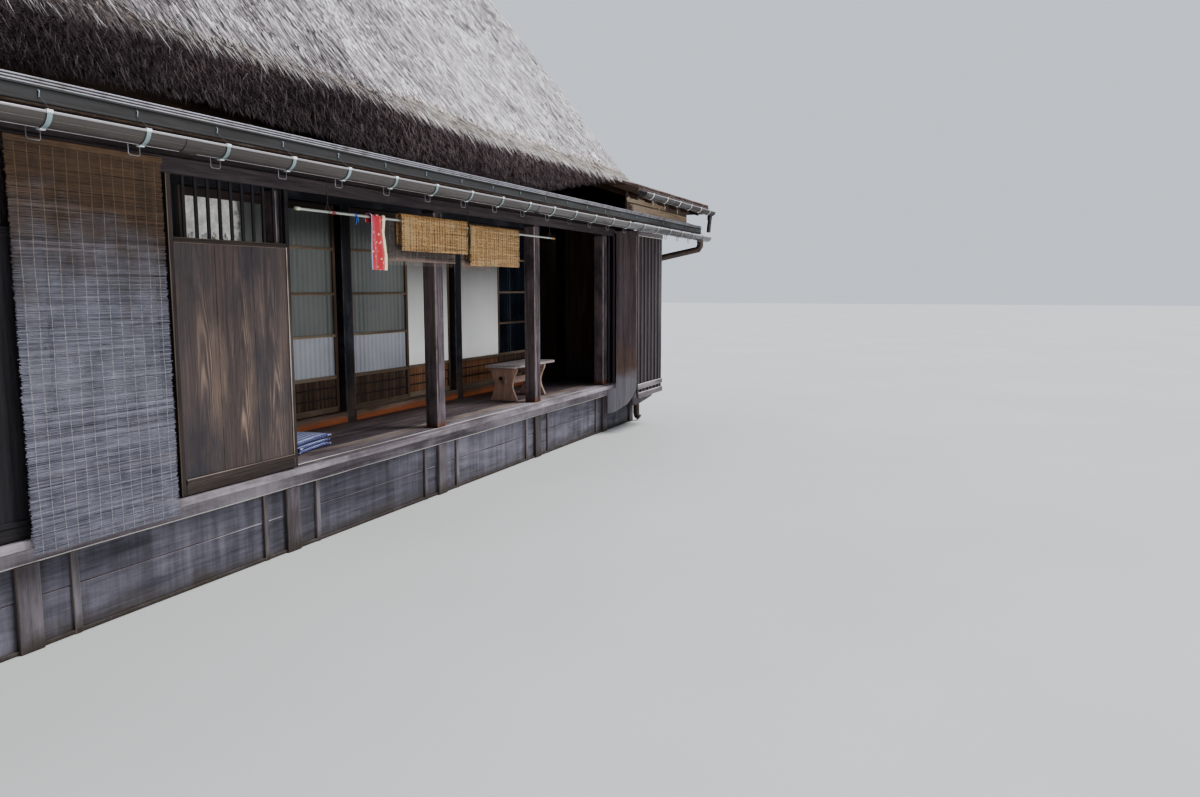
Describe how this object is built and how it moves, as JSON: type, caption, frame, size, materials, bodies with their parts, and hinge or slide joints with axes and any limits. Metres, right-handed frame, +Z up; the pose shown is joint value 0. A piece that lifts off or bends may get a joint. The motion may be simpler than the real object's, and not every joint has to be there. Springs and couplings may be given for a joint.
{
  "type": "thatched farmhouse with veranda",
  "caption": "Timber-framed farmhouse with a steep thatched roof, low metal-clad roofs, a long veranda and sliding doors.",
  "frame": {"origin": "on the ground below the middle of the house", "axes": "+Z up, +X to the right along the front, +Y from the veranda into the house"},
  "size_m": [16.2, 10.88, 9.4509],
  "materials": {
    "skirt_front": "grey weathered boards",
    "skirt_back": "grey weathered boards",
    "skirt_right": "grey weathered boards",
    "skirt_left": "grey weathered boards",
    "floor": "worn boards",
    "veranda": "worn dark boards",
    "front_frame": "dark stained timber",
    "inner_frame": "dark stained timber",
    "inner_wall": "dark stained timber",
    "rear_frame": "dark stained timber",
    "end_wall_right": "dark stained timber",
    "end_wall_left": "dark stained timber",
    "side_windows_right": "dark stained timber",
    "side_windows_left": "dark stained timber",
    "back_wall": "dark stained timber",
    "back_windows": "dark stained timber",
    "attic_floor": "dark stained timber",
    "roof_poles_front": "dark stained timber",
    "roof_poles_back": "dark stained timber",
    "gable_wall_right": "dark stained timber",
    "gable_wall_left": "dark stained timber",
    "gable_window_right": "dark stained timber",
    "gable_window_left": "dark stained timber",
    "gable_vents_right": "dark stained timber",
    "gable_vents_left": "dark stained timber",
    "verge_timbers_right": "dark stained timber",
    "verge_timbers_left": "dark stained timber",
    "thatch_front": "weathered reed thatch",
    "thatch_back": "weathered reed thatch",
    "ridge_cap": "weathered bark and boards",
    "ridge_saddles": "dark stained timber",
    "pent_roof_front": "rusty painted sheet",
    "pent_roof_back": "rusty painted sheet",
    "skirt_roof_right": "rusty painted sheet",
    "skirt_roof_left": "rusty painted sheet",
    "gutter_front": "weathered sheet metal",
    "gutter_back": "weathered sheet metal",
    "upper_gutter_right": "weathered sheet metal",
    "upper_gutter_left": "weathered sheet metal",
    "downpipe": "dark painted pipe",
    "shutter_box_right": "dark stained timber",
    "shutter_box_left": "dark stained timber",
    "closed_shutters": "dark stained timber",
    "closed_doors": "paper on a wood lattice",
    "pole": "bamboo",
    "small_blind_1": "split bamboo",
    "small_blind_2": "split bamboo",
    "old_blinds": "weathered reed",
    "towel": "woven cotton",
    "reed_blind": "weathered reed",
    "bench": "weathered plank",
    "cushion_lower": "checked cotton",
    "cushion_upper": "checked cotton",
    "rain_door": "dark stained timber",
    "glass_door_1": "wood frame with glazing",
    "glass_door_2": "wood frame with glazing",
    "glass_door_3": "wood frame with glazing",
    "shoji_door_1": "paper on a wood lattice",
    "shoji_door_2": "paper on a wood lattice",
    "glass_door_4": "wood frame with glazing"
  },
  "bodies": {
    "house": {"skirt_front": "skirt_front", "skirt_back": "skirt_back", "skirt_right": "skirt_right", "skirt_left": "skirt_left", "floor": "floor", "veranda": "veranda", "front_frame": "front_frame", "inner_frame": "inner_frame", "inner_wall": "inner_wall", "rear_frame": "rear_frame", "end_wall_right": "end_wall_right", "end_wall_left": "end_wall_left", "side_windows_right": "side_windows_right", "side_windows_left": "side_windows_left", "back_wall": "back_wall", "back_windows": "back_windows", "attic_floor": "attic_floor", "roof_poles_front": "roof_poles_front", "roof_poles_back": "roof_poles_back", "gable_wall_right": "gable_wall_right", "gable_wall_left": "gable_wall_left", "gable_window_right": "gable_window_right", "gable_window_left": "gable_window_left", "gable_vents_right": "gable_vents_right", "gable_vents_left": "gable_vents_left", "verge_timbers_right": "verge_timbers_right", "verge_timbers_left": "verge_timbers_left", "thatch_front": "thatch_front", "thatch_back": "thatch_back", "ridge_cap": "ridge_cap", "ridge_saddles": "ridge_saddles", "pent_roof_front": "pent_roof_front", "pent_roof_back": "pent_roof_back", "skirt_roof_right": "skirt_roof_right", "skirt_roof_left": "skirt_roof_left", "gutter_front": "gutter_front", "gutter_back": "gutter_back", "upper_gutter_right": "upper_gutter_right", "upper_gutter_left": "upper_gutter_left", "downpipe": "downpipe", "shutter_box_right": "shutter_box_right", "shutter_box_left": "shutter_box_left", "closed_shutters": "closed_shutters", "closed_doors": "closed_doors", "pole": "pole", "small_blind_1": "small_blind_1", "small_blind_2": "small_blind_2", "old_blinds": "old_blinds", "towel": "towel", "reed_blind": "reed_blind", "bench": "bench", "cushion_lower": "cushion_lower", "cushion_upper": "cushion_upper"},
    "rain_door": {"rain_door": "rain_door"},
    "glass_door_1": {"glass_door_1": "glass_door_1"},
    "glass_door_2": {"glass_door_2": "glass_door_2"},
    "glass_door_3": {"glass_door_3": "glass_door_3"},
    "shoji_door_1": {"shoji_door_1": "shoji_door_1"},
    "shoji_door_2": {"shoji_door_2": "shoji_door_2"},
    "glass_door_4": {"glass_door_4": "glass_door_4"}
  },
  "joints": [
    {"name": "rain_door_slide", "type": "slide", "parent": "house", "child": "rain_door", "axis": [1, 0, 0], "range_m": [-0.805, 6.35]},
    {"name": "glass_door_1_slide", "type": "slide", "parent": "house", "child": "glass_door_1", "axis": [1, 0, 0], "range_m": [0, 0.81]},
    {"name": "glass_door_3_slide", "type": "slide", "parent": "house", "child": "glass_door_3", "axis": [1, 0, 0], "range_m": [0, 0.81]},
    {"name": "shoji_door_2_slide", "type": "slide", "parent": "house", "child": "shoji_door_2", "axis": [1, 0, 0], "range_m": [0, 0.81]},
    {"name": "glass_door_2_slide", "type": "slide", "parent": "house", "child": "glass_door_2", "axis": [1, 0, 0], "range_m": [-0.81, 0]},
    {"name": "shoji_door_1_slide", "type": "slide", "parent": "house", "child": "shoji_door_1", "axis": [1, 0, 0], "range_m": [-0.81, 0]},
    {"name": "glass_door_4_slide", "type": "slide", "parent": "house", "child": "glass_door_4", "axis": [1, 0, 0], "range_m": [-0.81, 0]}
  ]
}
